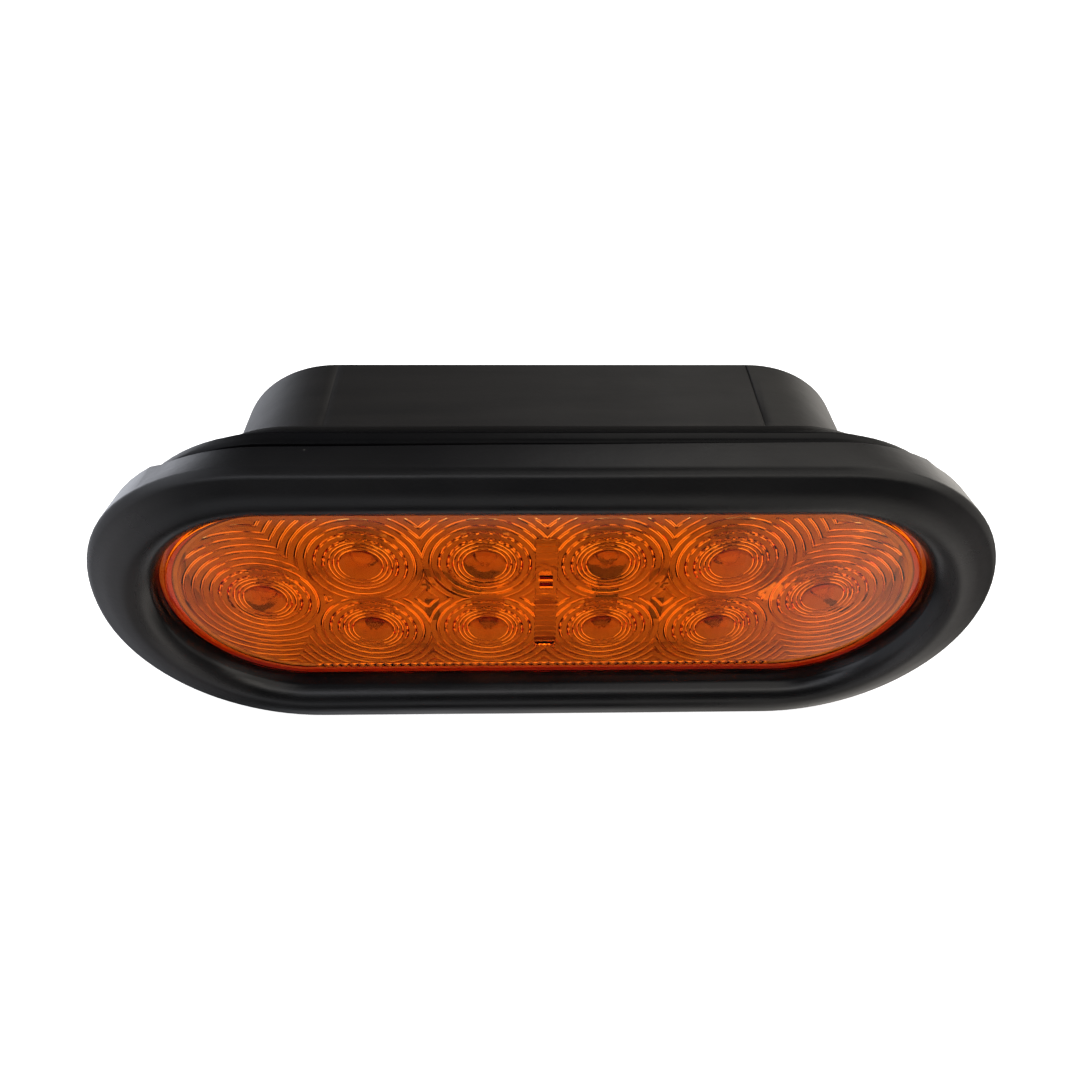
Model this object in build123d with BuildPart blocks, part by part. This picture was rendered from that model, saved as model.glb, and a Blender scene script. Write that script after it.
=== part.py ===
"""Oval trailer tail light: a sealed ten-diode lamp held in a closed-back rubber grommet.

Millimetres. X runs along the lamp, -Y points out of the lens, +Z is up. The origin is the centre
of the panel face, the plane on which the back of the rubber flange rests.
"""

from build123d import *
import os

os.makedirs("parts", exist_ok=True)

# ---------------------------------------------------------------- driving dimensions
spine = 107.95  # straight length between the round ends, shared by lamp, rubber and panel hole

flange_height = 80.9  # rubber flange, so 188.9 mm long
flange_back_height = 78.4
rim_y = -8.5  # widest line of the flange
crest_y = -11.2  # rounded crest around the lens
crest_radius = 32.6
lip_radius = 27.75  # opening that shows the lens
groove_radius = 32.4  # rubber in the panel hole (173 x 65 mm)
panel_gap = 3.2
bead_radius = 37.0  # bead that holds behind the panel
bead_end_y = 19.0

box_spine = 96.0  # wiring box behind the panel
box_radius = 26.4
box_end_y = 44.7
box_draft = 2.2  # degrees
rubber_wall = 2.8
outlet_radius = 3.5
outlet_boss_radius = 8.0
outlet_end_y = 50.7

lamp_radius = 28.575  # lamp flange, 165.1 x 57.15 mm
lens_flange_y = -5.0
joint_y = -3.4  # where lens and housing meet
lamp_back_y = -2.0  # back of the lamp's flange
lens_wall_radius = 26.5
lens_front_y = -6.2
optic_radius = 24.1  # window body that carries the ring optics on its back
optic_back_y = -2.9

shell_radius = 25.9  # housing cup
shell_wall = 1.6
shell_back_y = 13.0
socket_length = 42.0
socket_height = 20.0
socket_end_y = 23.0
socket_wall = 4.0
socket_floor_y = 11.0
pad_y = 8.0

board_front_y = 2.0
board_back_y = 3.6
board_radius = 23.6

led_pitch = 25.7
led_row_z = 10.7
led_end_x = 60.4
led_side = 7.6
led_lead = 0.4

pin_pitch = 10.0
pin_radius = 2.0
pin_tip_y = 21.0
shank_radius = 1.6
screw_x = 25.7
screw_radius = 1.25

fit_gap = 0.05  # loose fit around shanks

half_spine = spine / 2


def save(part, name):
    """Label one finished piece and write its file."""
    part.label = name
    export_step(part, "parts/" + name + ".step")


def facing(y):
    """Plane square to Y at the given depth, with local X along X and local Y along Z."""
    return Plane(origin=(0, y, 0), x_dir=(1, 0, 0), z_dir=(0, -1, 0))


# ---------------------------------------------------------------- rubber grommet
flange_radius = flange_height / 2
flange_back_radius = flange_back_height / 2
body_radius = shell_radius + 0.2
channel_radius = lamp_radius + 0.1

rib_count = 4
rib_pitch = 2.4

# Cross-section points are (y, distance out from the spine).
lip_and_flange = [
    (lens_flange_y, lip_radius),
    (rim_y + 0.3, lip_radius + 0.6),
    (rim_y - 1.3, lip_radius + 2.0),
    (crest_y, crest_radius),
    (crest_y + 0.3, crest_radius + 3.0),
    (rim_y - 0.9, flange_radius - 0.9),
    (rim_y, flange_radius),
    (0, flange_back_radius),
    (0, groove_radius),
    (panel_gap, groove_radius),
    (panel_gap, bead_radius - 0.8),
    (panel_gap + 0.8, bead_radius),
    (panel_gap + 2.8, bead_radius),
]
bead_ribs = []
for rib in range(rib_count):
    rib_y = panel_gap + 3.6 + rib * rib_pitch
    rib_out = bead_radius - 1.6 - rib * 1.7
    bead_ribs.append((rib_y, rib_out - 0.7))
    bead_ribs.append((rib_y + 1.0, rib_out - 0.7))
    bead_ribs.append((rib_y + 1.2, rib_out))
    bead_ribs.append((rib_y + rib_pitch - 0.4, rib_out - 0.5))
back_and_inside = [
    (bead_end_y, 28.2),
    (bead_end_y, 20.0),
    (bead_end_y - rubber_wall, 20.0),
    (bead_end_y - rubber_wall, body_radius),
    (lamp_back_y, body_radius),
    (lamp_back_y, channel_radius),
    (lens_flange_y, channel_radius),
]

with BuildPart() as grommet:
    with BuildSketch(Plane.YZ):
        with BuildLine():
            Polyline(lip_and_flange + bead_ribs + back_and_inside, close=True)
        make_face()
    extrude(amount=half_spine, both=True)
    mirror(about=Plane.XY)
    for side in (-1, 1):
        with BuildSketch(Plane.YZ.offset(side * half_spine)):
            with BuildLine():
                Polyline(lip_and_flange + bead_ribs + back_and_inside, close=True)
            make_face()
        axis = Axis((side * half_spine, 0, 0), (0, side, 0))
        revolve(axis=axis, revolution_arc=180)
    with BuildSketch(facing(bead_end_y - rubber_wall)):
        SlotCenterToCenter(box_spine, 2 * box_radius + 1.0)
    extrude(amount=bead_end_y - rubber_wall - box_end_y, taper=box_draft)
    rear_face = grommet.faces().sort_by(Axis.Y)[-1]
    fillet(rear_face.edges(), radius=0.9)
    with BuildSketch(facing(box_end_y)):
        Circle(outlet_boss_radius)
    extrude(amount=box_end_y - outlet_end_y, taper=4)
    with BuildSketch(facing(bead_end_y - rubber_wall)):
        SlotCenterToCenter(box_spine, 2 * (box_radius - rubber_wall))
    chamber_depth = box_end_y - rubber_wall - (bead_end_y - rubber_wall)
    extrude(amount=-chamber_depth, taper=box_draft, mode=Mode.SUBTRACT)
    with BuildSketch(facing(outlet_end_y)):
        Circle(outlet_radius)
    extrude(amount=outlet_end_y - box_end_y + 2 * rubber_wall, mode=Mode.SUBTRACT)
save(grommet.part, "grommet")

# ---------------------------------------------------------------- lamp lens
with BuildPart() as lens:
    with BuildSketch(facing(joint_y)):
        SlotCenterToCenter(spine, 2 * lamp_radius)
    extrude(amount=joint_y - lens_flange_y)
    with BuildSketch(facing(lens_flange_y)):
        SlotCenterToCenter(spine, 2 * lens_wall_radius)
    extrude(amount=lens_flange_y - lens_front_y)
    crown = lens.faces().sort_by(Axis.Y)[0]
    fillet(crown.edges(), radius=0.6)
    with BuildSketch(facing(optic_back_y)):
        SlotCenterToCenter(spine, 2 * optic_radius)
    extrude(amount=optic_back_y - joint_y)
save(lens.part, "lens")

# ---------------------------------------------------------------- weld seal in the flange joint
seal_inner = 25.4
seal_outer = 28.0
seal_depth = 0.7
with BuildPart() as lens_seal:
    with BuildSketch(facing(joint_y + seal_depth)):
        SlotCenterToCenter(spine, 2 * seal_outer)
        SlotCenterToCenter(spine, 2 * seal_inner, mode=Mode.SUBTRACT)
    extrude(amount=seal_depth)
save(lens_seal.part, "lens_seal")

# ---------------------------------------------------------------- housing with plug socket
pin_places = [(-pin_pitch, 0), (0, 0), (pin_pitch, 0)]
post_places = [(-screw_x, 0), (screw_x, 0)]
stop_places = [(-70.0, 0), (70.0, 0)]

with BuildPart() as housing:
    with BuildSketch(facing(lamp_back_y)):
        SlotCenterToCenter(spine, 2 * lamp_radius)
    extrude(amount=lamp_back_y - joint_y)
    with BuildSketch(facing(shell_back_y)):
        SlotCenterToCenter(spine, 2 * shell_radius)
    extrude(amount=shell_back_y - lamp_back_y)
    rear_rim = housing.faces().sort_by(Axis.Y)[-1]
    fillet(rear_rim.edges(), radius=1.5)
    with BuildSketch(facing(joint_y)):
        SlotCenterToCenter(spine, 2 * (shell_radius - shell_wall))
    extrude(amount=-(shell_back_y - shell_wall - joint_y), mode=Mode.SUBTRACT)
    with BuildSketch(facing(joint_y)):
        SlotCenterToCenter(spine, 2 * seal_outer)
        SlotCenterToCenter(spine, 2 * seal_inner, mode=Mode.SUBTRACT)
    extrude(amount=-seal_depth, mode=Mode.SUBTRACT)
    with BuildSketch(facing(socket_end_y)):
        RectangleRounded(socket_length, socket_height, 5)
    extrude(amount=socket_end_y - pad_y)
    with BuildSketch(facing(socket_end_y)):
        RectangleRounded(socket_length - 2 * socket_wall, socket_height - 2 * socket_wall, 3)
    extrude(amount=socket_end_y - socket_floor_y, mode=Mode.SUBTRACT)
    with BuildSketch(facing(socket_floor_y)):
        with Locations(*pin_places):
            Circle(shank_radius + fit_gap)
    extrude(amount=socket_floor_y - pad_y, mode=Mode.SUBTRACT)
    with BuildSketch(facing(shell_back_y - shell_wall)):
        with Locations(*post_places):
            Circle(3.2)
        with Locations(*stop_places):
            Circle(2.6)
    extrude(amount=shell_back_y - shell_wall - board_back_y)
    with BuildSketch(facing(board_back_y)):
        with Locations(*post_places):
            Circle(screw_radius + fit_gap)
    extrude(amount=-6.0, mode=Mode.SUBTRACT)
save(housing.part, "housing")

# ---------------------------------------------------------------- circuit board
with BuildPart() as circuit_board:
    with BuildSketch(facing(board_back_y)):
        SlotCenterToCenter(spine, 2 * board_radius)
        with Locations(*pin_places):
            Circle(shank_radius + 0.1, mode=Mode.SUBTRACT)
        with Locations(*post_places):
            Circle(screw_radius + 0.25, mode=Mode.SUBTRACT)
    extrude(amount=board_back_y - board_front_y)
save(circuit_board.part, "circuit_board")

# ---------------------------------------------------------------- light-emitting diodes
led_places = {"led_end_left": (-led_end_x, 0), "led_end_right": (led_end_x, 0)}
columns = ["far_left", "left", "right", "far_right"]
for index, column in enumerate(columns):
    column_x = (index - 1.5) * led_pitch
    led_places["led_upper_" + column] = (column_x, led_row_z)
    led_places["led_lower_" + column] = (column_x, -led_row_z)

led_base_y = board_front_y - led_lead
for led_name, (led_x, led_z) in led_places.items():
    with BuildPart() as led:
        with BuildSketch(facing(led_base_y)):
            with Locations((led_x, led_z)):
                RectangleRounded(led_side, led_side, 0.6)
        extrude(amount=2.3, taper=3)
        with BuildSketch(facing(led_base_y - 2.2)):
            with Locations((led_x, led_z)):
                Circle(2.6)
        extrude(amount=1.3, taper=12)
        dome = led.faces().sort_by(Axis.Y)[0]
        fillet(dome.edges(), radius=0.9)
    save(led.part, led_name)

with BuildPart() as led_legs:
    for led_x, led_z in led_places.values():
        with BuildSketch(facing(board_front_y)):
            with Locations((led_x, led_z - 2.5), (led_x, led_z + 2.5)):
                Rectangle(led_side + 2.4, 1.2)
        extrude(amount=led_lead)
save(led_legs.part, "led_legs")


# ---------------------------------------------------------------- other board components
def chip(name, place, length, width, height, edge):
    """Low block on the front of the board, with softened top edges."""
    with BuildPart() as block:
        with BuildSketch(facing(board_front_y)):
            with Locations(place):
                Rectangle(length, width)
        extrude(amount=height)
        chamfer(block.faces().sort_by(Axis.Y)[0].edges(), length=edge)
    save(block.part, name)


chip("resistor_upper_left", (-17.4, -3.2), 6.4, 3.2, 0.9, 0.15)
chip("resistor_upper_right", (14.0, -4.6), 5.0, 2.5, 0.9, 0.15)
chip("resistor_lower_left", (-screw_x, -led_row_z), 3.2, 6.4, 0.9, 0.15)
chip("resistor_lower_right", (screw_x, -led_row_z), 3.2, 6.4, 0.9, 0.15)
chip("diode_tail", (0, led_row_z), 4.6, 2.8, 2.1, 0.3)
chip("diode_turn", (0, -led_row_z), 4.6, 2.8, 2.1, 0.3)
chip("surge_clamp", (-49.5, 0), 4.4, 6.8, 2.3, 0.3)

with BuildPart() as capacitor:
    with BuildSketch(facing(board_front_y)):
        with Locations((49.5, 0)):
            Circle(3.15)
    extrude(amount=4.6)
    fillet(capacitor.faces().sort_by(Axis.Y)[0].edges(), radius=0.4)
save(capacitor.part, "capacitor")

# ---------------------------------------------------------------- plug pins, solder and potting
pin_names = ["pin_tail", "pin_ground", "pin_turn"]
for pin_name, (pin_x, pin_z) in zip(pin_names, pin_places):
    with BuildPart() as pin:
        with BuildSketch(facing(socket_floor_y)):
            with Locations((pin_x, pin_z)):
                Circle(shank_radius)
        extrude(amount=socket_floor_y - 1.2)
        with BuildSketch(facing(socket_floor_y)):
            with Locations((pin_x, pin_z)):
                Circle(pin_radius)
        extrude(amount=socket_floor_y - pin_tip_y)
        chamfer(pin.faces().sort_by(Axis.Y)[-1].edges(), length=0.7)
    save(pin.part, pin_name)

with BuildPart() as pin_solder:
    with BuildSketch(facing(board_front_y)):
        with Locations(*pin_places):
            Circle(2.7)
            Circle(shank_radius + fit_gap, mode=Mode.SUBTRACT)
    extrude(amount=0.6)
save(pin_solder.part, "pin_solder")

with BuildPart() as potting:
    with BuildSketch(facing(pad_y)):
        RectangleRounded(2 * pin_pitch + 9, 9, 2)
        with Locations(*pin_places):
            Circle(shank_radius + fit_gap, mode=Mode.SUBTRACT)
    extrude(amount=1.5)
save(potting.part, "potting")

# ---------------------------------------------------------------- board screws
with BuildPart() as board_screws:
    with BuildSketch(facing(board_front_y)):
        with Locations(*post_places):
            Circle(2.8)
    extrude(amount=1.9, taper=8)
    with BuildSketch(facing(board_front_y)):
        with Locations(*post_places):
            Circle(screw_radius)
    extrude(amount=-6.5)
    with BuildSketch(facing(board_front_y - 1.9)):
        with Locations(*post_places):
            Rectangle(3.2, 0.7)
            Rectangle(0.7, 3.2)
    extrude(amount=-0.9, mode=Mode.SUBTRACT)
save(board_screws.part, "board_screws")
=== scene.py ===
import math

import bmesh
import bpy
from mathutils import Matrix, Vector, noise


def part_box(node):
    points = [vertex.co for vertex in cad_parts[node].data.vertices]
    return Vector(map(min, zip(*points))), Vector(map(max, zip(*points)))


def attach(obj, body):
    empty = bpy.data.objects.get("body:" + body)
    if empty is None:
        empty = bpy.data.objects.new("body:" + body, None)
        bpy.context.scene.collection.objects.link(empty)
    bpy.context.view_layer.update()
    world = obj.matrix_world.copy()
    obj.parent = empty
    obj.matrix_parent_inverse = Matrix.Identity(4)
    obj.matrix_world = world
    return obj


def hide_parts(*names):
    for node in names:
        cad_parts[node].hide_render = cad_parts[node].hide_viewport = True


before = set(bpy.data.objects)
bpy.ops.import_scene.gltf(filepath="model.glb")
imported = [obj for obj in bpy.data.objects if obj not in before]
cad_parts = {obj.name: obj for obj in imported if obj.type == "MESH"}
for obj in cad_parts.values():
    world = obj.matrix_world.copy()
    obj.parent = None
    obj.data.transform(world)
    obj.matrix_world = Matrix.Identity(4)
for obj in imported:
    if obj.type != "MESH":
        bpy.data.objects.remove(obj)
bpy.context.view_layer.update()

# Oval trailer tail light in its rubber grommet. Lengths in this script are millimetres in the
# CAD frame (X along the lamp, -Y out of the lens, +Z up) and become metres in make_object.
# Places and radii inside the node materials are metres, since shader coordinates are.

MM = 0.001


def box_mm(node):
    """Lowest and highest corner of a CAD node, in millimetres."""
    low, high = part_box(node)
    return low / MM, high / MM


def middle_of(node):
    """Centre of a CAD node seen along Y, in millimetres, at y = 0."""
    low, high = box_mm(node)
    return Vector(((low.x + high.x) / 2, 0, (low.z + high.z) / 2))


rubber_low, rubber_high = box_mm("grommet")
lens_low, lens_high = box_mm("lens")
housing_low = box_mm("housing")[0]

# ---------------------------------------------------------------- driving sizes, from the frame
FLANGE_RADIUS = rubber_high.z
HALF_STRAIGHT = rubber_high.x - FLANGE_RADIUS  # half of the straight length, shared by all ovals
CREST_Y = rubber_low.y
LAMP_RADIUS = lens_high.z
LENS_FRONT_Y = lens_low.y
JOINT_Y = housing_low.y
OUTLET_END_Y = rubber_high.y
OUTLET_LENGTH = 6.0
OUTLET_RADIUS, OUTLET_BORE = 7.7, 3.5
BOX_END_Y = OUTLET_END_Y - OUTLET_LENGTH
BOX_HALF_STRAIGHT = 48.0

RIM_Y = CREST_Y + 2.7
LIP_RADIUS = LAMP_RADIUS - 0.8
CHANNEL_RADIUS = LAMP_RADIUS + 0.1
LENS_FLANGE_Y = LENS_FRONT_Y + 1.2
GROOVE_RADIUS = 32.4
PANEL_GAP = 3.2
BEAD_RADIUS = 37.0
BEAD_END_Y = 19.0
RIB_COUNT, RIB_PITCH, RIB_STEP = 4, 2.4, 1.7
BODY_RADIUS = 26.1
RUBBER_WALL = 2.8
BOX_RADIUS_FRONT = 26.9
BOX_RADIUS_BACK = 25.95

LED_NAMES = [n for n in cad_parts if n.startswith("led_") and n != "led_legs"]


# ---------------------------------------------------------------- mesh helpers
def make_object(name, bm, material, smooth_angle=35.0, recalculate=True):
    """Turns a bmesh in millimetres into a shaded object that rides on the root body."""
    bmesh.ops.scale(bm, vec=(MM, MM, MM), verts=bm.verts)
    if recalculate:
        bmesh.ops.recalc_face_normals(bm, faces=bm.faces)
    mesh = bpy.data.meshes.new(name)
    bm.to_mesh(mesh)
    bm.free()
    mesh.polygons.foreach_set("use_smooth", [True] * len(mesh.polygons))
    mesh.set_sharp_from_angle(angle=math.radians(smooth_angle))
    piece = bpy.data.objects.new(name, mesh)
    bpy.context.scene.collection.objects.link(piece)
    piece.data.materials.append(material)
    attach(piece, "root")
    return piece


def oval_stations(straight_steps, arc_steps, extra=()):
    """Places round an oval: ("top", t), ("right", angle), ("bottom", t) or ("left", angle)."""
    ts = sorted({-1 + 2 * i / straight_steps for i in range(straight_steps + 1)} | set(extra))
    angles = [math.pi / 2 - math.pi * i / arc_steps for i in range(1, arc_steps)]
    stations = [("top", t) for t in ts]
    stations += [("right", a) for a in angles]
    stations += [("bottom", -t) for t in ts]
    stations += [("left", a) for a in angles]
    return stations


def oval_point(station, half, radius):
    """(x, z) of a station on the oval of the given half straight length and end radius."""
    side, value = station
    if side == "top":
        return value * half, radius
    if side == "bottom":
        return value * half, -radius
    if side == "right":
        return half + radius * math.cos(value), radius * math.sin(value)
    return -half - radius * math.cos(value), -radius * math.sin(value)


def rounded(profile):
    """Rounds the corners of a closed profile of (y, radius, half straight, corner radius)."""
    result = []
    count = len(profile)
    for i, (y, r, half, corner) in enumerate(profile):
        here = Vector((y, r, half))
        before = Vector(profile[i - 1][:3])
        after = Vector(profile[(i + 1) % count][:3])
        if corner <= 0:
            result.append(here)
            continue
        reach = min(corner, (before - here).length * 0.48, (after - here).length * 0.48)
        start = here + (before - here).normalized() * reach
        end = here + (after - here).normalized() * reach
        steps = 3 if corner < 0.5 else 6
        for k in range(steps + 1):
            t = k / steps
            result.append(start * (1 - t) ** 2 + here * 2 * t * (1 - t) + end * t ** 2)
    return result


def sweep_oval(profile, stations, shift):
    """Closed tube: the closed profile carried round the oval, each point moved by shift."""
    bm = bmesh.new()
    rows = []
    for y, r, half in profile:
        row = []
        for station in stations:
            x, z = oval_point(station, half, r)
            point = Vector((x, y, z))
            row.append(bm.verts.new(point + shift(point, station)))
        rows.append(row)
    count = len(stations)
    for i in range(len(rows)):
        a, b = rows[i], rows[(i + 1) % len(rows)]
        for j in range(count):
            bm.faces.new((a[j], a[(j + 1) % count], b[(j + 1) % count], b[j]))
    return bm


# ---------------------------------------------------------------- material helpers
class Shader:
    """A node material with its Principled shader, built up by short calls."""

    def __init__(self, name, **values):
        self.material = bpy.data.materials.new(name)
        self.material.use_nodes = True
        self.tree = self.material.node_tree
        self.bsdf = self.tree.nodes["Principled BSDF"]
        self.output = self.tree.nodes["Material Output"]
        for key, value in values.items():
            self.bsdf.inputs[key.replace("_", " ")].default_value = value
        coords = self.tree.nodes.new("ShaderNodeTexCoord")
        self.place = coords.outputs["Object"]

    def node(self, kind, links=None, **settings):
        made = self.tree.nodes.new("ShaderNode" + kind)
        for key, value in settings.items():
            setattr(made, key, value)
        for key, value in (links or {}).items():
            socket = made.inputs[key]
            if isinstance(value, bpy.types.NodeSocket):
                self.tree.links.new(value, socket)
            else:
                socket.default_value = value
        return made

    def stretched(self, scale):
        """Object coordinates scaled differently along X, Y and Z."""
        return self.node("Mapping", {"Vector": self.place, "Scale": scale}).outputs["Vector"]

    def noise(self, scale, detail=4.0, rough=0.55, vector=None):
        links = {"Vector": vector or self.place, "Scale": scale, "Detail": detail,
                 "Roughness": rough}
        return self.node("TexNoise", links).outputs["Fac"]

    def specks(self, scale, size):
        """1 in small round spots scattered through space, 0 elsewhere."""
        cells = self.node("TexVoronoi", {"Vector": self.place, "Scale": scale, "Randomness": 1.0})
        return self.ramp(cells.outputs["Distance"], (size * 0.6, 1.0), (size, 0.0))

    def ramp(self, value, low, high):
        """Maps value from low[0]..high[0] to low[1]..high[1], clamped."""
        links = {"Value": value, "From Min": low[0], "From Max": high[0],
                 "To Min": low[1], "To Max": high[1]}
        return self.node("MapRange", links, clamp=True).outputs["Result"]

    def maths(self, operation, a, b):
        return self.node("Math", {0: a, 1: b}, operation=operation).outputs["Value"]

    def oval_distance(self):
        """Distance from the lamp's spine, the line between the centres of the round ends, and
        the place along Y."""
        split = self.node("SeparateXYZ", {"Vector": self.place})
        beyond = self.maths("SUBTRACT", self.maths("ABSOLUTE", split.outputs["X"], 0.0),
                            HALF_STRAIGHT * MM)
        across = self.maths("MAXIMUM", beyond, 0.0)
        squares = self.maths("ADD", self.maths("MULTIPLY", across, across),
                             self.maths("MULTIPLY", split.outputs["Z"], split.outputs["Z"]))
        return self.maths("SQRT", squares, 0.0), split.outputs["Y"]

    def mix(self, factor, a, b):
        made = self.node("Mix", data_type="RGBA")
        inputs = {"Factor": made.inputs[0], "A": made.inputs[6], "B": made.inputs[7]}
        for key, value in (("Factor", factor), ("A", a), ("B", b)):
            if isinstance(value, bpy.types.NodeSocket):
                self.tree.links.new(value, inputs[key])
            else:
                inputs[key].default_value = value
        return made.outputs[2]

    def drive(self, socket, value):
        self.tree.links.new(value, self.bsdf.inputs[socket])

    def bump(self, *layers):
        """Each layer is (height socket, strength, distance in metres)."""
        normal = None
        for height, strength, distance in layers:
            links = {"Height": height, "Strength": strength, "Distance": distance}
            if normal:
                links["Normal"] = normal
            normal = self.node("Bump", links).outputs["Normal"]
        self.drive("Normal", normal)


def rgba(r, g, b):
    return (r, g, b, 1.0)


def rubber_material():
    """Moulded black rubber: glossier on the flange, browner and duller on the wiring box."""
    s = Shader("rubber_moulded")
    split = s.node("SeparateXYZ", {"Vector": s.place})
    back = s.ramp(split.outputs["Y"], (0.010, 0.0), (0.021, 1.0))  # 0 on the flange, 1 on the box
    cloud = s.noise(28.0, 3.0)
    grain = s.noise(900.0, 6.0, 0.7)
    streak = s.noise(60.0, 5.0, 0.6, s.stretched((0.35, 3.0, 3.0)))
    flange = s.mix(s.ramp(cloud, (0.35, 0.0), (0.7, 1.0)), rgba(0.0016, 0.0016, 0.0020),
                   rgba(0.0034, 0.0032, 0.0032))
    along = s.maths("ABSOLUTE", split.outputs["X"], 0.0)
    # painted sheen: a paler rubber colour on the crest of the flange's round ends stands in for
    # the reflection they catch
    painted_end_sheen = s.maths("MULTIPLY", s.ramp(along, (0.066, 0.0), (0.082, 1.0)),
                    s.ramp(cloud, (0.2, 0.55), (0.7, 1.0)))
    painted_end_sheen = s.maths("MULTIPLY", painted_end_sheen, s.ramp(split.outputs["Y"], (-0.0102, 1.0), (-0.0085, 0.0)))
    flange = s.mix(painted_end_sheen, flange, rgba(0.017, 0.0155, 0.0155))
    box = s.mix(s.ramp(streak, (0.3, 0.0), (0.7, 1.0)), rgba(0.0050, 0.0046, 0.0042),
                rgba(0.0095, 0.0086, 0.0078))
    colour = s.mix(back, flange, box)
    dust = s.specks(85.0, 0.022)
    colour = s.mix(s.maths("MULTIPLY", dust, 0.5), colour, rgba(0.22, 0.21, 0.2))
    s.drive("Base Color", colour)
    # the flange is glossy, the lip next to the lens more so, and the barbed bead reflects least
    flange_gloss = s.ramp(s.noise(45.0, 4.0), (0.3, 0.26), (0.75, 0.38))
    bead = s.maths("MULTIPLY", s.ramp(split.outputs["Y"], (0.0020, 0.0), (0.0030, 1.0)),
                   s.ramp(split.outputs["Y"], (0.0175, 1.0), (0.0185, 0.0)))
    distance, depth = s.oval_distance()
    lip = s.maths("MULTIPLY", s.ramp(distance, (LIP_RADIUS * MM, 1.0), (0.0325, 0.0)),
                  s.ramp(depth, (0.0, 1.0), (0.002, 0.0)))
    rough = s.maths("ADD", flange_gloss, s.maths("MULTIPLY", back, 0.14))
    rough = s.maths("SUBTRACT", rough, s.maths("MULTIPLY", lip, 0.14))
    s.drive("Roughness", rough)
    s.drive("Specular IOR Level", s.ramp(bead, (0.0, 0.5), (1.0, 0.18)))
    s.bump((grain, 0.12, 0.0002), (s.noise(120.0, 3.0), 0.10, 0.0006), (streak, 0.06, 0.0008))
    return s.material


AMBER = rgba(0.994, 0.715, 0.15)
AMBER_DENSITY = 1150.0


def amber_material():
    """Clear amber polycarbonate: the colour comes from absorption, so thick edges go red."""
    s = Shader("amber_polycarbonate", Transmission_Weight=1.0, IOR=1.58)
    s.bsdf.inputs["Base Color"].default_value = rgba(1.0, 1.0, 1.0)
    s.drive("Roughness", s.ramp(s.noise(70.0, 4.0), (0.35, 0.015), (0.75, 0.06)))
    s.bump((s.noise(220.0, 2.0), 0.03, 0.0004), (s.noise(1800.0, 2.0), 0.015, 0.0001))
    absorb = s.node("VolumeAbsorption")
    absorb.inputs["Color"].default_value = AMBER
    absorb.inputs["Density"].default_value = AMBER_DENSITY
    s.tree.links.new(absorb.outputs["Volume"], s.output.inputs["Volume"])
    return s.material


def moulded_plastic(name, dark, light, rough=0.4):
    """Cloudy colour between dark and light, with a fine moulded grain."""
    s = Shader(name)
    s.drive("Base Color", s.mix(s.ramp(s.noise(60.0), (0.35, 0.0), (0.7, 1.0)), dark, light))
    s.drive("Roughness", s.ramp(s.noise(140.0), (0.3, rough - 0.08), (0.75, rough + 0.1)))
    s.bump((s.noise(1500.0, 5.0, 0.7), 0.15, 0.0001), (s.noise(90.0, 2.0), 0.08, 0.0004))
    return s.material


def metal(name, dark, light, rough=0.3, brushed=(1.0, 1.0, 1.0)):
    """Metal with fine lines, drawn out along the axes where brushed is below 1."""
    s = Shader(name, Metallic=1.0)
    lines = s.noise(500.0, 4.0, 0.6, s.stretched(brushed))
    s.drive("Base Color", s.mix(s.ramp(lines, (0.35, 0.0), (0.7, 1.0)), dark, light))
    s.drive("Roughness", s.ramp(s.noise(260.0), (0.3, rough - 0.1), (0.75, rough + 0.12)))
    s.bump((lines, 0.1, 0.00005))
    return s.material


# Black marks printed on the board. An arc is (x, z, inner radius, outer radius, x and z of the
# direction its middle lies in, how far along that direction it starts), and a bar is
# (x, z, half length, half height).
MARK_EDGE, BAR_EDGE, ARC_FADE = 0.2, 0.15, 0.8  # how wide their soft edges are
BOARD_ARCS = [
    (-13.4, 4.9, 2.2, 3.5, -0.5, -0.87, 0.2), (-14.2, 5.2, 7.7, 9.3, -0.45, -0.9, 6.0),
    (13.2, 4.9, 1.5, 3.6, 0.0, -1.0, 0.3), (-64.0, -5.6, 2.3, 3.4, -0.35, -0.94, 0.6),
    (66.4, -5.2, 2.3, 3.4, 0.35, -0.94, 0.6), (-61.0, -3.6, 1.2, 1.9, 0.8, -0.6, 0.4),
]
BOARD_BARS = [
    (11.0, -3.6, 0.35, 1.8), (12.6, -3.8, 0.35, 1.8), (15.4, -3.2, 1.0, 0.4),
    (0.2, -0.9, 1.4, 0.3), (0.2, -2.1, 1.2, 0.5), (0.2, -3.4, 1.4, 0.35),
]


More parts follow.
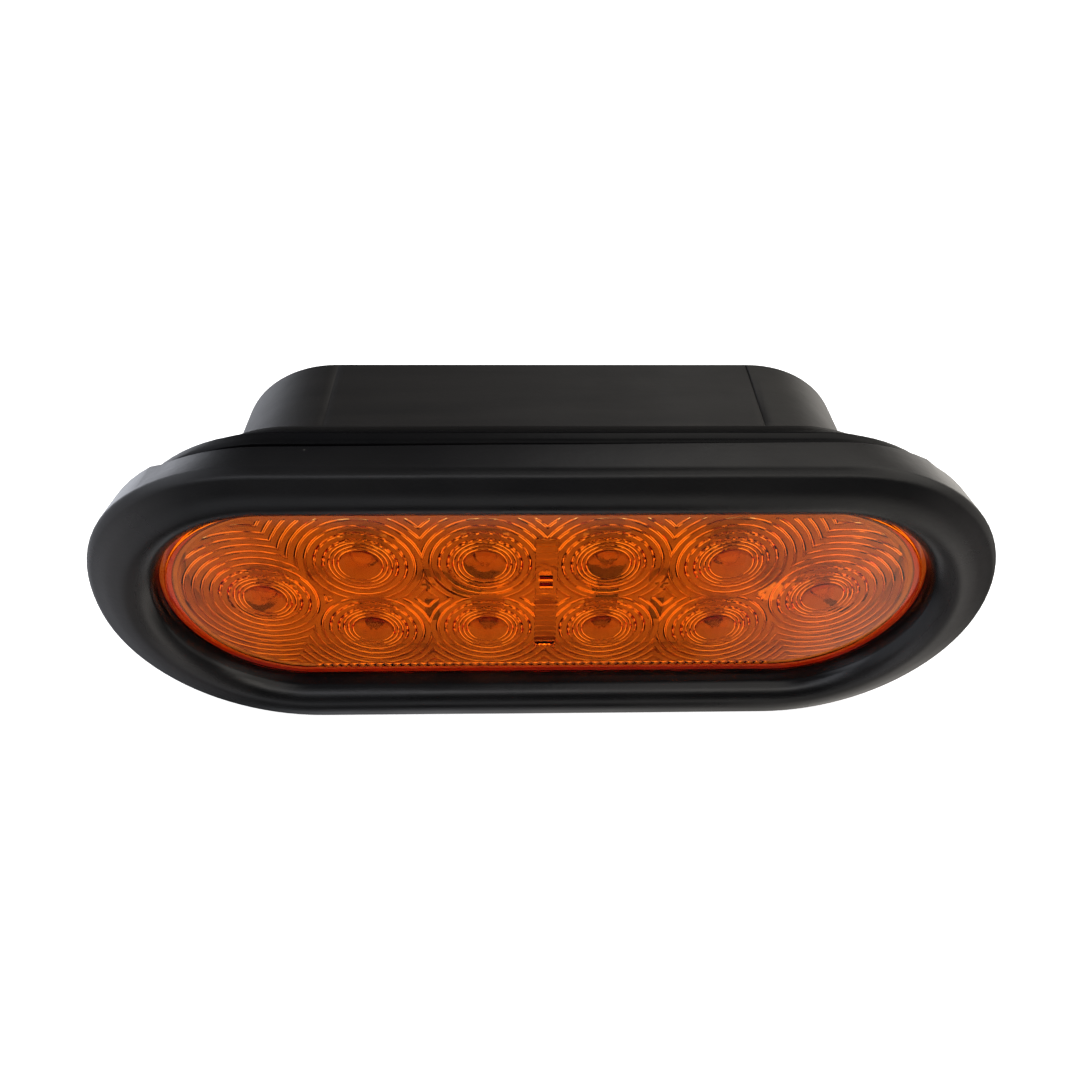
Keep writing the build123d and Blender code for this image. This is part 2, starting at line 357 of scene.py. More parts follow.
def board_material():
    """Buff solder mask with faint straight copper tracks under it, black printed marks, and
    painted shade darkening it towards the top.
    """
    s = Shader("board_mask", Roughness=0.35)
    weave = s.node("TexWave", {"Vector": s.place, "Scale": 240.0, "Distortion": 0.6,
                               "Detail": 1.0}, wave_type="BANDS", bands_direction="X")
    tracks = s.ramp(weave.outputs["Fac"], (0.80, 0.0), (0.9, 1.0))
    base = s.mix(s.ramp(s.noise(40.0), (0.35, 0.0), (0.7, 1.0)), rgba(0.60, 0.50, 0.36),
                 rgba(0.72, 0.62, 0.47))
    colour = s.mix(s.maths("MULTIPLY", tracks, 0.10), base, rgba(0.50, 0.38, 0.22))
    split = s.node("SeparateXYZ", {"Vector": s.place})
    painted_top_shade = s.ramp(split.outputs["Z"], (-0.002, 0.0), (0.016, 0.75))  # painted shade: darker towards the top, where the lip shades the board
    colour = s.mix(painted_top_shade, colour, rgba(0.34, 0.20, 0.11))
    printed = None
    for x, z, inner, outer, side_x, side_z, low in BOARD_ARCS:
        dx = s.maths("SUBTRACT", split.outputs["X"], x * MM)
        dz = s.maths("SUBTRACT", split.outputs["Z"], z * MM)
        radius = s.maths("SQRT", s.maths("ADD", s.maths("MULTIPLY", dx, dx),
                                         s.maths("MULTIPLY", dz, dz)), 0.0)
        side = s.maths("ADD", s.maths("MULTIPLY", dx, side_x), s.maths("MULTIPLY", dz, side_z))
        arc = s.maths("MULTIPLY",
                      s.ramp(radius, ((inner - MARK_EDGE) * MM, 0.0), (inner * MM, 1.0)),
                      s.ramp(radius, (outer * MM, 1.0), ((outer + MARK_EDGE) * MM, 0.0)))
        arc = s.maths("MULTIPLY", arc,
                      s.ramp(side, (low * MM, 0.0), ((low + ARC_FADE) * MM, 1.0)))
        printed = arc if printed is None else s.maths("MAXIMUM", printed, arc)
    for x, z, half_x, half_z in BOARD_BARS:
        dx = s.maths("ABSOLUTE", s.maths("SUBTRACT", split.outputs["X"], x * MM), 0.0)
        dz = s.maths("ABSOLUTE", s.maths("SUBTRACT", split.outputs["Z"], z * MM), 0.0)
        bar = s.maths("MULTIPLY",
                      s.ramp(dx, (half_x * MM, 1.0), ((half_x + BAR_EDGE) * MM, 0.0)),
                      s.ramp(dz, (half_z * MM, 1.0), ((half_z + BAR_EDGE) * MM, 0.0)))
        printed = s.maths("MAXIMUM", printed, bar)
    s.drive("Base Color", s.mix(printed, colour, rgba(0.035, 0.022, 0.015)))
    s.bump((tracks, 0.2, 0.00004), (s.noise(1200.0), 0.08, 0.00005))
    return s.material


def housing_material():
    """Black moulded plastic with a light reflector coat on the inside of the cup."""
    s = Shader("housing_coated")
    distance, depth = s.oval_distance()
    inside = s.maths("MULTIPLY", s.ramp(distance, (0.0250, 1.0), (0.0253, 0.0)),
                     s.ramp(depth, (0.0116, 1.0), (0.0119, 0.0)))
    cloud = s.ramp(s.noise(60.0), (0.35, 0.0), (0.7, 1.0))
    plastic = s.mix(cloud, rgba(0.008, 0.008, 0.009), rgba(0.016, 0.016, 0.017))
    coat = s.mix(cloud, rgba(0.64, 0.53, 0.39), rgba(0.74, 0.64, 0.49))
    s.drive("Base Color", s.mix(inside, plastic, coat))
    s.drive("Roughness", s.ramp(s.noise(140.0), (0.3, 0.34), (0.75, 0.5)))
    s.bump((s.noise(1500.0, 5.0, 0.7), 0.15, 0.0001), (s.noise(90.0, 2.0), 0.08, 0.0004))
    return s.material


def diode_material(name, centre, mark):
    """Clear moulded diode. The mark is a dark arc or spot: x and z from the diode's centre, inner
    and outer radius, and the direction the arc lies in, which is 0, 0 for a full round."""
    s = Shader("led_epoxy_" + name, Transmission_Weight=0.25, IOR=1.54, Roughness=0.14)
    at_x, at_z, inner, outer, side_x, side_z = mark
    place = (centre + Vector((at_x, 0.0, at_z))) * MM
    offset = s.node("VectorMath", {0: s.place, 1: place}, operation="SUBTRACT")
    split = s.node("SeparateXYZ", {"Vector": offset.outputs["Vector"]})
    x, z = split.outputs["X"], split.outputs["Z"]
    radius = s.maths("SQRT", s.maths("ADD", s.maths("MULTIPLY", x, x),
                                     s.maths("MULTIPLY", z, z)), 0.0)
    body = s.mix(s.ramp(s.noise(300.0), (0.3, 0.0), (0.7, 1.0)), rgba(0.66, 0.48, 0.28),
                 rgba(0.84, 0.68, 0.46))
    dark = s.maths("MULTIPLY", s.ramp(radius, ((inner - 0.15) * MM, 0.0), (inner * MM, 1.0)),
                   s.ramp(radius, (outer * MM, 1.0), ((outer + 0.15) * MM, 0.0)))
    if side_x or side_z:
        side = s.maths("ADD", s.maths("MULTIPLY", x, side_x), s.maths("MULTIPLY", z, side_z))
        dark = s.maths("MULTIPLY", dark, s.ramp(side, (0.0002, 0.0), (0.0008, 1.0)))
    s.drive("Base Color", s.mix(dark, body, rgba(0.04, 0.02, 0.01)))
    s.bump((s.noise(900.0), 0.06, 0.00005))
    return s.material


rubber = rubber_material()
amber = amber_material()

# ---------------------------------------------------------------- rubber grommet
MOULD_LINE = 0.994  # share of the half straight length
MOULD_LINE_EDGE = 0.988
MOULD_LINE_DEPTH = {"right": 0.35, "left": 0.15}
TANGENTS = [-1.0, -MOULD_LINE, -MOULD_LINE_EDGE, MOULD_LINE_EDGE, MOULD_LINE, 1.0]
grommet_stations = oval_stations(40, 44, TANGENTS)

H = HALF_STRAIGHT
B = BOX_HALF_STRAIGHT
# (y, radius, half straight length, corner radius) round the rubber's section, from the lip
profile = [
    (LENS_FLANGE_Y, LIP_RADIUS, H, 0.25),
    (RIM_Y + 0.3, LIP_RADIUS + 0.6, H, 0.8),
    (RIM_Y - 1.5, LIP_RADIUS + 2.2, H, 1.2),
    (CREST_Y, LIP_RADIUS + 4.8, H, 1.6),
    (CREST_Y + 0.3, LIP_RADIUS + 7.8, H, 2.5),
    (RIM_Y - 0.9, FLANGE_RADIUS - 0.9, H, 1.4),
    (RIM_Y + 0.4, FLANGE_RADIUS, H, 0.9),
    (-0.3, FLANGE_RADIUS - 1.1, H, 0.3),
    (0.0, FLANGE_RADIUS - 1.4, H, 0.3),
    (0.0, GROOVE_RADIUS, H, 0.6),
    (PANEL_GAP, GROOVE_RADIUS, H, 0.4),
    (PANEL_GAP, BEAD_RADIUS - 0.6, H, 0.3),
    (PANEL_GAP + 0.7, BEAD_RADIUS, H, 0.4),
    (PANEL_GAP + 2.8, BEAD_RADIUS, H, 0.4),
]
for rib in range(RIB_COUNT):
    y = PANEL_GAP + 3.6 + rib * RIB_PITCH
    out = BEAD_RADIUS - 1.6 - rib * RIB_STEP
    profile += [(y, out - 0.7, H, 0.15), (y + 1.0, out - 0.7, H, 0.15), (y + 1.2, out, H, 0.2),
                (y + 2.0, out - 0.5, H, 0.2)]
profile += [
    (BEAD_END_Y - 0.3, 28.3, H, 0.4),
    (BEAD_END_Y, 27.6, H - 0.4, 0.4),
    (BEAD_END_Y, BOX_RADIUS_FRONT - 0.1, B, 0.5),
    (BEAD_END_Y + 3.0, BOX_RADIUS_FRONT - 0.2, B, 0.0),
    (BOX_END_Y - 4.0, BOX_RADIUS_BACK + 0.15, B, 0.0),
    (BOX_END_Y, BOX_RADIUS_BACK, B, 1.0),
    (BOX_END_Y, BOX_RADIUS_BACK - 4.0, B, 0.0),
    (BOX_END_Y, 11.0, 2.0, 0.6),
    (OUTLET_END_Y, OUTLET_RADIUS, 0.0, 0.8),
    (OUTLET_END_Y, OUTLET_BORE, 0.0, 0.3),
    (BOX_END_Y - RUBBER_WALL, OUTLET_BORE, 0.0, 0.2),
    (BOX_END_Y - RUBBER_WALL, BOX_RADIUS_BACK - RUBBER_WALL, B, 1.0),
    (BEAD_END_Y - RUBBER_WALL, BOX_RADIUS_FRONT - RUBBER_WALL, B, 0.3),
    (BEAD_END_Y - RUBBER_WALL, BODY_RADIUS, H, 0.4),
    (-2.0, BODY_RADIUS, H, 0.2),
    (-2.0, CHANNEL_RADIUS, H, 0.2),
    (LENS_FLANGE_Y, CHANNEL_RADIUS, H, 0.2),
]
SHOULDER_BULGE = {"left": 1.2, "right": 0.5}  # how far the soft flange sags out at its shoulders
BULGE_FROM, BULGE_BLEND = 33.0, 6.0  # end radius where the sag starts, and how soon it is full


def rubber_shift(point, station):
    """Soft unevenness of moulded rubber, its sagging flange, and the mould line down the box."""
    wave = noise.noise(point * 0.03) * 0.10 + noise.noise(point * 0.07 + Vector((9, 4, 2))) * 0.03
    outward = Vector((0, 0, 1 if point.z > 0 else -1))
    shift = outward * wave * (1 if abs(point.z) > 24 and point.y < BOX_END_Y - 1 else 0)
    if point.z > 34 and RIM_Y + 2 < point.y < 1:
        shift += Vector((0, 0, 0.009 * point.x - 0.1))  # flange pulled down a little at one end
    side, value = station
    if side in SHOULDER_BULGE and point.z > 0 and point.y < 1:
        radius = math.hypot(max(abs(point.x) - H, 0.0), point.z)
        weight = min(1.0, max(0.0, (radius - BULGE_FROM) / BULGE_BLEND))
        away = Vector((point.x - math.copysign(H, point.x), 0, point.z)).normalized()
        shift += away * SHOULDER_BULGE[side] * weight * math.sin(2 * abs(value)) ** 2
    if side == "top" and BEAD_END_Y + 0.5 < point.y < BOX_END_Y - 0.5 and point.z > 24:
        if abs(abs(value) - MOULD_LINE) < 0.001:
            shift += Vector((0, 0, -MOULD_LINE_DEPTH["right" if value > 0 else "left"]))
    return shift


grommet_body = make_object("rubber_body", sweep_oval(rounded(profile), grommet_stations,
                                                     rubber_shift), rubber)
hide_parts("grommet")

# ---------------------------------------------------------------- lens
WALL_RADIUS = 26.5
OPTIC_Y = JOINT_Y - 0.5  # plane of the ring optics, on the back of the lens
BODY_EDGE_RADIUS = 25.2
OPTIC_RADIUS = 23.8
RING_PITCH = 1.85
RING_START = 7.25
RING_COUNT = 12
STRIP_HALF = 2.4
STRIP_LOW, STRIP_HIGH = -17.3, 18.2
PAD_LOW, PAD_HIGH, PAD_HALF, PAD_PITCH = 2.9, 7.4, 1.4, 2.25
PAD_DEPTH, PAD_SHARE = 0.62, 0.96
BAR_HIGH, BAR_DEPTH = -15.5, 0.6
CROSS_BAR_DEPTH, CROSS_BAR_SHARE = 0.13, 0.12
NOTCH_PITCH, NOTCH_DEPTH = 2.05, 0.42
SLIT = 0.02  # width of the near-upright sides of the strip's relief
BULGE_RADIUS, BULGE_HEIGHT, BULGE_STEPS = 4.2, 0.30, 7
FINE_RINGS = (4.4, 5.35, 6.3)
FINE_HEIGHT = 0.20
INNER_HEIGHT, OUTER_HEIGHT = 0.34, 0.30  # of the two saw-tooth rings next to the centre, others
CELL_STEPS = 168
BEAD_DEPTH, FAINT_BEAD_DEPTH = 0.12, 0.03  # how much the ring height waves round the cell
BEADS_ROUND, BEAD_TURN = 21, 3.1
NEIGHBOUR_REACH = 45.0  # diodes nearer than this cut each other's rings
END_CELL_X = 30.0  # cells further out than this meet the round ends
STRIP_CELL_X = 20.0  # cells nearer than this reach into the centre strip
TRIM_STEPS = 20


def ring_profile():
    """(radius, y) from the axis outward: centre bulge, fine rings, then saw-tooth rings."""
    points = []
    for k in range(BULGE_STEPS + 1):
        r = BULGE_RADIUS * k / BULGE_STEPS
        points.append((r, OPTIC_Y + 0.05 + BULGE_HEIGHT * (1 - (r / BULGE_RADIUS) ** 2)))
    for r in FINE_RINGS:
        points += [(r, OPTIC_Y), (r + 0.22, OPTIC_Y + FINE_HEIGHT), (r + 0.48, OPTIC_Y + 0.02)]
    for k in range(RING_COUNT):
        r = RING_START + k * RING_PITCH
        high = INNER_HEIGHT if k < 2 else OUTER_HEIGHT
        points += [(r, OPTIC_Y), (r + 0.16, OPTIC_Y + high), (r + 0.30, OPTIC_Y + high * 0.96),
                   (r + 0.74, OPTIC_Y + 0.02), (r + RING_PITCH - 0.10, OPTIC_Y)]
    return points


def strip_height(x, z):
    """Relief of the strip between the middle diodes: cross bars, two pad wedges, end wedge."""
    if PAD_LOW < z < PAD_HIGH:
        along = (z - PAD_LOW) / PAD_PITCH % 1.0
        return PAD_DEPTH * max(0.0, 1 - along / PAD_SHARE) if abs(x) < PAD_HALF else 0.0
    if z < BAR_HIGH:
        return BAR_DEPTH * (BAR_HIGH - z) / (BAR_HIGH - STRIP_LOW)
    along = (z - STRIP_LOW) / RING_PITCH % 1.0
    if along < CROSS_BAR_SHARE:
        return CROSS_BAR_DEPTH * along / CROSS_BAR_SHARE
    return CROSS_BAR_DEPTH * (1 - along) / (1 - CROSS_BAR_SHARE)


def cut(bm, point, normal, clear=True, faces=None):
    """Splits the mesh at a plane, and by default keeps only what lies behind it."""
    faces = bm.faces[:] if faces is None else faces
    # dict.fromkeys drops repeats and keeps the order, so that each run builds the same mesh
    edges = dict.fromkeys(e for f in faces for e in f.edges)
    verts = dict.fromkeys(v for f in faces for v in f.verts)
    bmesh.ops.bisect_plane(bm, geom=[*verts, *edges, *faces], dist=1e-5,
                           plane_co=point, plane_no=normal, clear_outer=clear)


def trim_to_oval(bm, centre, radius):
    """Cuts a cell to the lens outline, its round end as a fan of planes."""
    cut(bm, (0, 0, radius), (0, 0, 1))
    cut(bm, (0, 0, -radius), (0, 0, -1))
    side = 1 if centre.x > 0 else -1
    if abs(centre.x) > END_CELL_X:
        for k in range(1 - TRIM_STEPS, TRIM_STEPS):
            a = math.pi / 2 * k / TRIM_STEPS
            normal = Vector((side * math.cos(a), 0, math.sin(a)))
            cut(bm, Vector((side * HALF_STRAIGHT, 0, 0)) + normal * radius, normal)


def press_strip(bm, side):
    """Forms the relief of the centre strip in the part of a ring cell that reaches into it."""
    for x in (STRIP_HALF, STRIP_HALF - 0.12):
        cut(bm, (side * x, 0, 0), (side, 0, 0), clear=False)

    def inside(face, low, high):
        middle = face.calc_center_median()
        return abs(middle.x) < STRIP_HALF and low < middle.z < high

    lines = [PAD_LOW, PAD_LOW - SLIT, PAD_HIGH, PAD_HIGH + SLIT, BAR_HIGH, BAR_HIGH + SLIT]
    z = STRIP_LOW
    while z < STRIP_HIGH:
        lines += [z, z + RING_PITCH * CROSS_BAR_SHARE]
        z += RING_PITCH
    for k in range(2):
        start = PAD_LOW + PAD_PITCH * k
        lines += [start - SLIT, start, start + PAD_PITCH * PAD_SHARE]
    lines += [STRIP_LOW + SLIT, STRIP_HIGH - SLIT, STRIP_HIGH]
    for z in sorted(lines):
        chosen = [f for f in bm.faces if inside(f, STRIP_LOW - 0.1, STRIP_HIGH + 0.1)]
        cut(bm, (0, 0, z), (0, 0, 1), clear=False, faces=chosen)
    for x in (PAD_HALF - SLIT, PAD_HALF + SLIT):
        chosen = [f for f in bm.faces if inside(f, PAD_LOW, PAD_HIGH)]
        cut(bm, (side * x, 0, 0), (side, 0, 0), clear=False, faces=chosen)
    for v in bm.verts:
        if abs(v.co.x) < STRIP_HALF - 0.11 and STRIP_LOW < v.co.z < STRIP_HIGH:
            v.co.y = OPTIC_Y + strip_height(v.co.x, v.co.z)


def ring_cell(centre, others):
    """Concentric rings about one diode, cut where they meet the next diode's rings."""
    bm = bmesh.new()
    rings = ring_profile()
    steps = CELL_STEPS
    middle = bm.verts.new((centre.x, rings[0][1], centre.z))
    rows = []
    for r, y in rings[1:]:
        row = []
        inner = RING_START < r < RING_START + 2 * RING_PITCH - 0.2
        depth = BEAD_DEPTH if inner else FAINT_BEAD_DEPTH
        for k in range(steps):
            a = 2 * math.pi * k / steps
            deep = 1 + depth * math.sin(a * BEADS_ROUND + r * BEAD_TURN)
            row.append(bm.verts.new((centre.x + r * math.cos(a), OPTIC_Y + (y - OPTIC_Y) * deep,
                                     centre.z + r * math.sin(a))))
        rows.append(row)
    for k in range(steps):
        bm.faces.new((middle, rows[0][(k + 1) % steps], rows[0][k]))
    for inner, outer in zip(rows, rows[1:]):
        for k in range(steps):
            n = (k + 1) % steps
            bm.faces.new((inner[k], inner[n], outer[n], outer[k]))
    for other in others:
        if (other - centre).length < NEIGHBOUR_REACH:
            cut(bm, (centre + other) / 2, (other - centre).normalized())
    trim_to_oval(bm, centre, OPTIC_RADIUS + 0.01)
    if abs(centre.x) < STRIP_CELL_X:
        press_strip(bm, 1 if centre.x > 0 else -1)
    return bm


def border_strip(bm):
    """Narrow band round the ring optics, with a row of small notches along the bottom."""
    stations = oval_stations(round(2 * H / NOTCH_PITCH), 40)
    inner = [bm.verts.new((x, OPTIC_Y, z)) for x, z in
             (oval_point(st, H, OPTIC_RADIUS) for st in stations)]
    outer = [bm.verts.new((x, OPTIC_Y, z)) for x, z in
             (oval_point(st, H, BODY_EDGE_RADIUS) for st in stations)]
    total = len(stations)
    for j in range(total):
        n = (j + 1) % total
        if stations[j][0] == "bottom" and stations[n][0] == "bottom":
            middle = (inner[j].co + inner[n].co + outer[j].co + outer[n].co) / 4
            middle.y = OPTIC_Y + NOTCH_DEPTH
            peak = bm.verts.new(middle)
            ring = (inner[j], outer[j], outer[n], inner[n])
            for a, b in zip(ring, ring[1:] + ring[:1]):
                bm.faces.new((a, b, peak))
        else:
            bm.faces.new((inner[j], outer[j], outer[n], inner[n]))


def merge(target, source):
    """Copies one bmesh into another."""
    mesh = bpy.data.meshes.new("patch")
    source.to_mesh(mesh)
    target.from_mesh(mesh)
    bpy.data.meshes.remove(mesh)
    source.free()


JOINT_GAP = 0.04  # keeps the lens's back face off the seal and the housing


def lens_shell():
    """Back edge, flange, wall and crowned front of the lens. The optics close it at the back."""
    outline = [
        (OPTIC_Y, BODY_EDGE_RADIUS, H, 0.0),
        (JOINT_Y - JOINT_GAP, BODY_EDGE_RADIUS, H, 0.0),
        (JOINT_Y - JOINT_GAP, LAMP_RADIUS, H, 0.2),
        (LENS_FLANGE_Y, LAMP_RADIUS, H, 0.3),
        (LENS_FLANGE_Y, WALL_RADIUS + 0.35, H, 0.3),
        (LENS_FLANGE_Y - 0.7, WALL_RADIUS, H, 0.6),
        (LENS_FRONT_Y + 0.22, 22.0, H, 0.0),
        (LENS_FRONT_Y + 0.1, 16.0, H, 0.0),
        (LENS_FRONT_Y + 0.03, 10.0, H, 0.0),
        (LENS_FRONT_Y, 4.0, H, 0.0),
    ]
    stations = oval_stations(36, 48)
    count = len(stations)
    bm = bmesh.new()
    rows = []
    for y, r, half in rounded(outline):
        rows.append([bm.verts.new((x, y, z)) for x, z in
                     (oval_point(st, half, r) for st in stations)])
    for a, b in zip(rows, rows[1:]):
        for j in range(count):
            bm.faces.new((a[j], b[j], b[(j + 1) % count], a[(j + 1) % count]))
    bm.faces.new(list(reversed(rows[-1])))
    return bm


led_centres = [middle_of(name) for name in LED_NAMES]
lens_bm = lens_shell()
border_strip(lens_bm)
for centre in led_centres:
    merge(lens_bm, ring_cell(centre, [o for o in led_centres if o is not centre]))
lens_body = make_object("lens_optics", lens_bm, amber, 22.0, recalculate=False)
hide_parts("lens")

# ---------------------------------------------------------------- CAD pieces keep their shape
# Dark parts seen in each diode, as diode_material takes them
DIODE_MARKS = {name: (0.0, -0.5, 0.0, 2.1, 0.0, 0.0) for name in LED_NAMES if "lower" in name}
DIODE_MARKS["led_upper_far_left"] = (0.0, 0.0, 3.4, 3.8, 1.0, 0.0)
DIODE_MARKS["led_upper_left"] = (0.0, 0.0, 1.9, 2.5, -0.8, -0.6)
DIODE_MARKS["led_upper_right"] = (0.0, 0.0, 0.9, 2.1, -0.1, -1.0)
DIODE_MARKS["led_upper_far_right"] = (0.0, 0.0, 3.4, 3.8, -1.0, 0.0)
DIODE_MARKS["led_end_left"] = (0.0, 0.0, 1.8, 2.4, 0.8, -0.6)
DIODE_MARKS["led_end_right"] = (0.0, 0.0, 1.8, 2.4, -0.8, -0.6)
looks = {
    "housing": housing_material(),
    "circuit_board": board_material(),
    "lens_seal": moulded_plastic("seal_amber", rgba(0.62, 0.07, 0.05), rgba(0.80, 0.12, 0.08)),
    "led_legs": metal("tinned_legs", rgba(0.5, 0.5, 0.5), rgba(0.75, 0.75, 0.74), 0.35),
    "pin_solder": moulded_plastic("solder_lacquered", rgba(0.56, 0.45, 0.31),
                                  rgba(0.68, 0.57, 0.42)),
    "potting": moulded_plastic("potting_resin", rgba(0.01, 0.01, 0.012),
                               rgba(0.03, 0.03, 0.032), 0.25),
    "board_screws": metal("zinc_screw", rgba(0.40, 0.33, 0.25), rgba(0.60, 0.52, 0.42), 0.45,
                          (1.0, 0.2, 1.0)),
    "capacitor": metal("capacitor_can", rgba(0.6, 0.61, 0.62), rgba(0.82, 0.82, 0.83), 0.3,
                       (1.0, 0.1, 1.0)),
}
brass = metal("plated_brass", rgba(0.55, 0.40, 0.16), rgba(0.80, 0.64, 0.34), 0.28,
              (1.0, 0.1, 1.0))
ceramic = moulded_plastic("resistor_glaze", rgba(0.008, 0.008, 0.01), rgba(0.03, 0.03, 0.035),
                          0.3)
package = moulded_plastic("diode_lacquered", rgba(0.50, 0.40, 0.27), rgba(0.62, 0.51, 0.36),
                          0.5)


def look_of(name):
    """Material of a CAD piece that keeps its shape."""
    if name in looks:
        return looks[name]
    if name in LED_NAMES:
        return diode_material(name, middle_of(name), DIODE_MARKS[name])
    if name.startswith("pin_"):
        return brass
    return ceramic if name.startswith("resistor_") else package


for node_name, node_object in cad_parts.items():
    if node_name not in ("grommet", "lens"):
        node_object.data.materials.clear()
        node_object.data.materials.append(look_of(node_name))

# ---------------------------------------------------------------- floor, light and camera
FLOOR_HALF = 4000.0
corners = [(-FLOOR_HALF, -FLOOR_HALF), (FLOOR_HALF, -FLOOR_HALF), (FLOOR_HALF, FLOOR_HALF),
           (-FLOOR_HALF, FLOOR_HALF)]
floor_bm = bmesh.new()
floor_bm.faces.new([floor_bm.verts.new((x, y, rubber_low.z)) for x, y in corners])
bmesh.ops.scale(floor_bm, vec=(MM, MM, MM), verts=floor_bm.verts)
floor_mesh = bpy.data.meshes.new("studio_floor")
floor_bm.to_mesh(floor_mesh)
floor_bm.free()
floor = bpy.data.objects.new("studio_floor", floor_mesh)
bpy.context.scene.collection.objects.link(floor)
paper = Shader("studio_paper", Roughness=0.9)
paper.drive("Base Color", paper.mix(paper.ramp(paper.noise(3.0), (0.3, 0.0), (0.7, 1.0)),
                                    rgba(0.90, 0.90, 0.90), rgba(0.93, 0.93, 0.93)))
paper.bsdf.inputs["Emission Color"].default_value = rgba(1.0, 1.0, 1.0)
paper.bsdf.inputs["Emission Strength"].default_value = 0.75
floor.data.materials.append(paper.material)
floor.visible_glossy = False

world = bpy.data.worlds.new("studio_world")
world.use_nodes = True
sky = world.node_tree
sky_split = sky.nodes.new("ShaderNodeSeparateXYZ")
sky.links.new(sky.nodes.new("ShaderNodeTexCoord").outputs["Generated"], sky_split.inputs[0])


def sky_ramp(value, low, high):
    """Smooth step of one component of the direction, from low[1] at low[0] to high[1]."""
    made = sky.nodes.new("ShaderNodeMapRange")
    made.interpolation_type = "SMOOTHSTEP"
    for key, number in (("From Min", low[0]), ("From Max", high[0]), ("To Min", low[1]),
                        ("To Max", high[1])):
        made.inputs[key].default_value = number
    sky.links.new(value, made.inputs["Value"])
    return made.outputs["Result"]


def sky_maths(operation, a, b):
    made = sky.nodes.new("ShaderNodeMath")
    made.operation = operation
    sky.links.new(a, made.inputs[0])
    sky.links.new(b, made.inputs[1])
    return made.outputs["Value"]


sky_x, sky_y, sky_z = (sky_split.outputs[axis] for axis in "XYZ")
axes = {"x": sky_x, "y": sky_y, "z": sky_z}
# Soft bright patches of the studio round the lamp: strength, then (axis, where the patch is
# still dark, where it reaches full strength) for each side it fades out on.
SKY_PATCHES = [
    (0.10, ("z", 0.15, 0.5)),
    (0.72, ("x", -0.08, 0.12), ("z", 0.15, 0.5), ("z", 1.02, 0.85)),
    (1.10, ("x", 0.30, 0.75), ("z", 0.15, 0.5)),
    (1.20, ("x", -0.35, -0.80), ("z", 0.15, 0.5)),
    (0.60, ("x", -0.40, -0.85)),
    (0.74, ("x", 0.15, 0.45), ("z", -0.1, -0.5), ("x", 0.85, 0.40)),
    (0.36, ("x", -0.20, -0.50), ("z", -0.1, -0.5), ("z", -0.95, -0.72)),
    (0.55, ("y", -0.70, -0.88), ("z", -0.15, -0.4)),
    (0.45, ("z", -0.92, -0.99)),
    (1.50, ("y", 0.45, 0.70), ("x", 0.42, 0.60), ("z", 0.15, 0.02)),
    (1.80, ("y", 0.45, 0.70), ("x", -0.42, -0.60), ("z", 0.24, 0.10)),
    (0.50, ("y", -0.75, -0.9), ("z", 0.12, 0.3), ("x", 0.05, -0.12)),
    (0.40, ("x", 0.75, 0.92)),
    (1.60, ("z", 0.36, 0.44), ("z", 0.62, 0.52), ("y", -0.6, -0.75)),
]
FAINT_LIGHT = 0.03  # from every other direction
total = sky_ramp(sky_z, (-2.0, FAINT_LIGHT), (-1.5, FAINT_LIGHT))
for strength, *edges in SKY_PATCHES:
    patch = sky_ramp(axes[edges[0][0]], (edges[0][1], 0.0), (edges[0][2], strength))
    for axis, dark, full in edges[1:]:
        patch = sky_maths("MULTIPLY", patch, sky_ramp(axes[axis], (dark, 0.0), (full, 1.0)))
    total = sky_maths("MAXIMUM", total, patch)
sky.links.new(total, sky.nodes["Background"].inputs["Strength"])
tint = sky.nodes.new("ShaderNodeMix")
tint.data_type = "RGBA"
tint.inputs[6].default_value = rgba(0.94, 0.97, 1.06)
tint.inputs[7].default_value = rgba(1.05, 1.0, 0.93)
sky.links.new(sky_ramp(sky_x, (-0.4, 0.0), (0.4, 1.0)), tint.inputs[0])
sky.links.new(tint.outputs[2], sky.nodes["Background"].inputs["Color"])
backdrop = sky.nodes.new("ShaderNodeBackground")  # plain pale wall behind the floor
backdrop.inputs["Color"].default_value = rgba(0.93, 0.93, 0.93)
seen = sky.nodes.new("ShaderNodeMixShader")
sky.links.new(sky.nodes.new("ShaderNodeLightPath").outputs["Is Camera Ray"], seen.inputs[0])
sky.links.new(sky.nodes["Background"].outputs[0], seen.inputs[1])
sky.links.new(backdrop.outputs[0], seen.inputs[2])
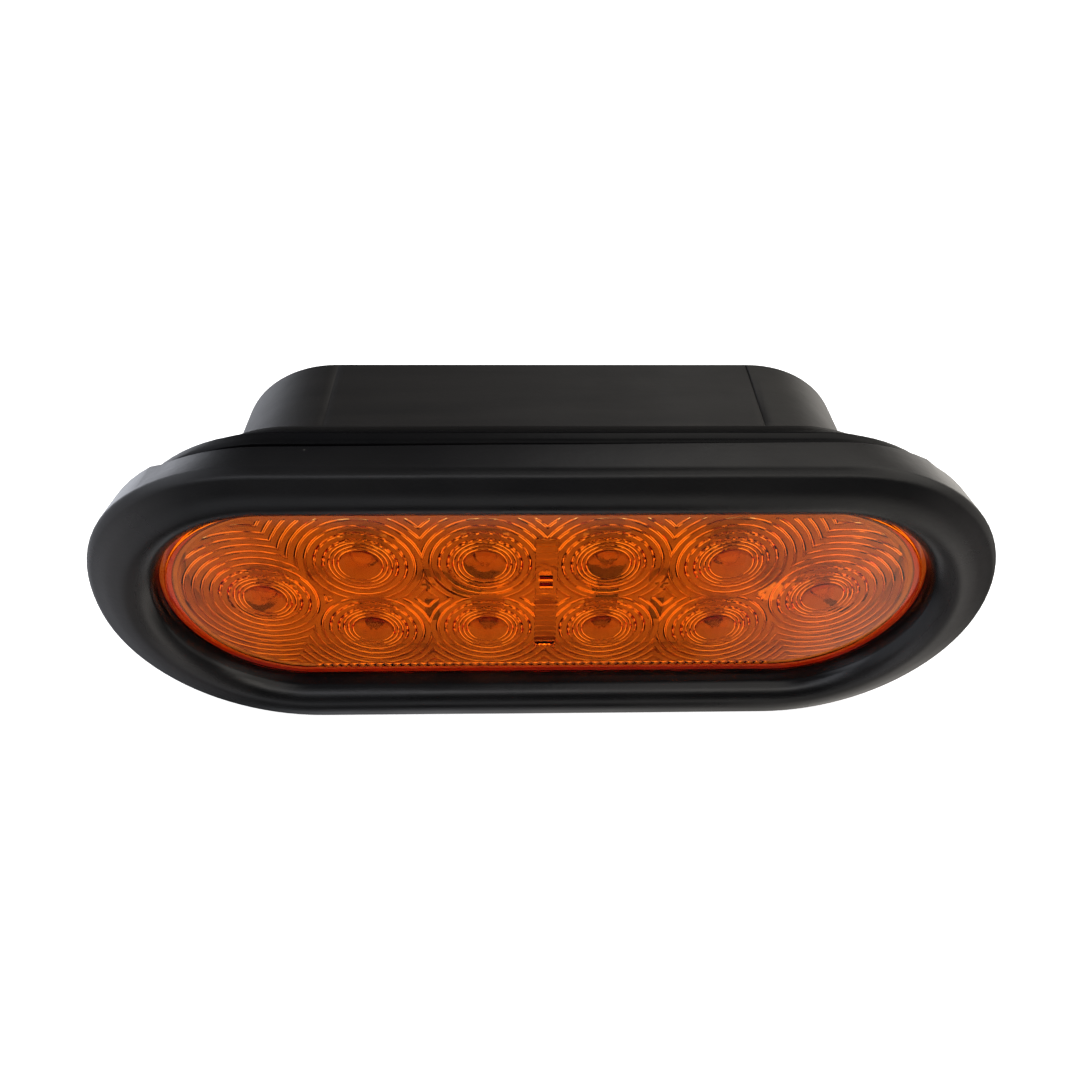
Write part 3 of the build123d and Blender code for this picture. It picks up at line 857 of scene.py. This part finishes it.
sky.links.new(seen.outputs[0], sky.nodes["World Output"].inputs["Surface"])
bpy.context.scene.world = world


def area_light(name, place, target, size, energy):
    """White rectangular softbox at place, in millimetres, aimed at target."""
    data = bpy.data.lights.new(name, "AREA")
    data.shape = "RECTANGLE"
    data.size, data.size_y = size[0] * MM, size[1] * MM
    data.energy = energy
    light = bpy.data.objects.new(name, data)
    light.location = Vector(place) * MM
    aim = Vector(target) - Vector(place)
    light.rotation_mode = "QUATERNION"
    light.rotation_quaternion = aim.to_track_quat("-Z", "Y")
    bpy.context.scene.collection.objects.link(light)
    return light


key = area_light("key_softbox", (100, -200, 800), (0, 0, 0), (900, 560), 6.2)
key.visible_glossy = False  # lights the inside of the lamp without a glare on the rubber

scene = bpy.context.scene
scene.view_settings.view_transform = "Standard"
scene.view_settings.look = "None"

FOCAL_LENGTH, SENSOR_WIDTH = 28.65, 36.0
CAMERA_TARGET = Vector((-1.6, RIM_Y, 21.8))
CAMERA_DISTANCE = 168.2
CAMERA_ELEVATION = math.radians(46.54)
CAMERA_AZIMUTH = math.radians(-1.82)
CAMERA_ROLL = math.radians(1.09)
camera_data = bpy.data.cameras.new("camera")
camera_data.sensor_width = SENSOR_WIDTH
camera_data.lens = FOCAL_LENGTH
camera_data.clip_start = 0.01
camera = bpy.data.objects.new("camera", camera_data)
back = Vector((math.sin(CAMERA_AZIMUTH) * math.cos(CAMERA_ELEVATION),
               -math.cos(CAMERA_AZIMUTH) * math.cos(CAMERA_ELEVATION), math.sin(CAMERA_ELEVATION)))
right = (-back).cross(Vector((0, 0, 1))).normalized()
upward = right.cross(-back)
rolled_right = right * math.cos(CAMERA_ROLL) + upward * math.sin(CAMERA_ROLL)
rolled_up = upward * math.cos(CAMERA_ROLL) - right * math.sin(CAMERA_ROLL)
camera.matrix_world = Matrix.Translation((CAMERA_TARGET + back * CAMERA_DISTANCE) * MM) @ Matrix(
    (rolled_right, rolled_up, back)).transposed().to_4x4()
scene.collection.objects.link(camera)
scene.camera = camera
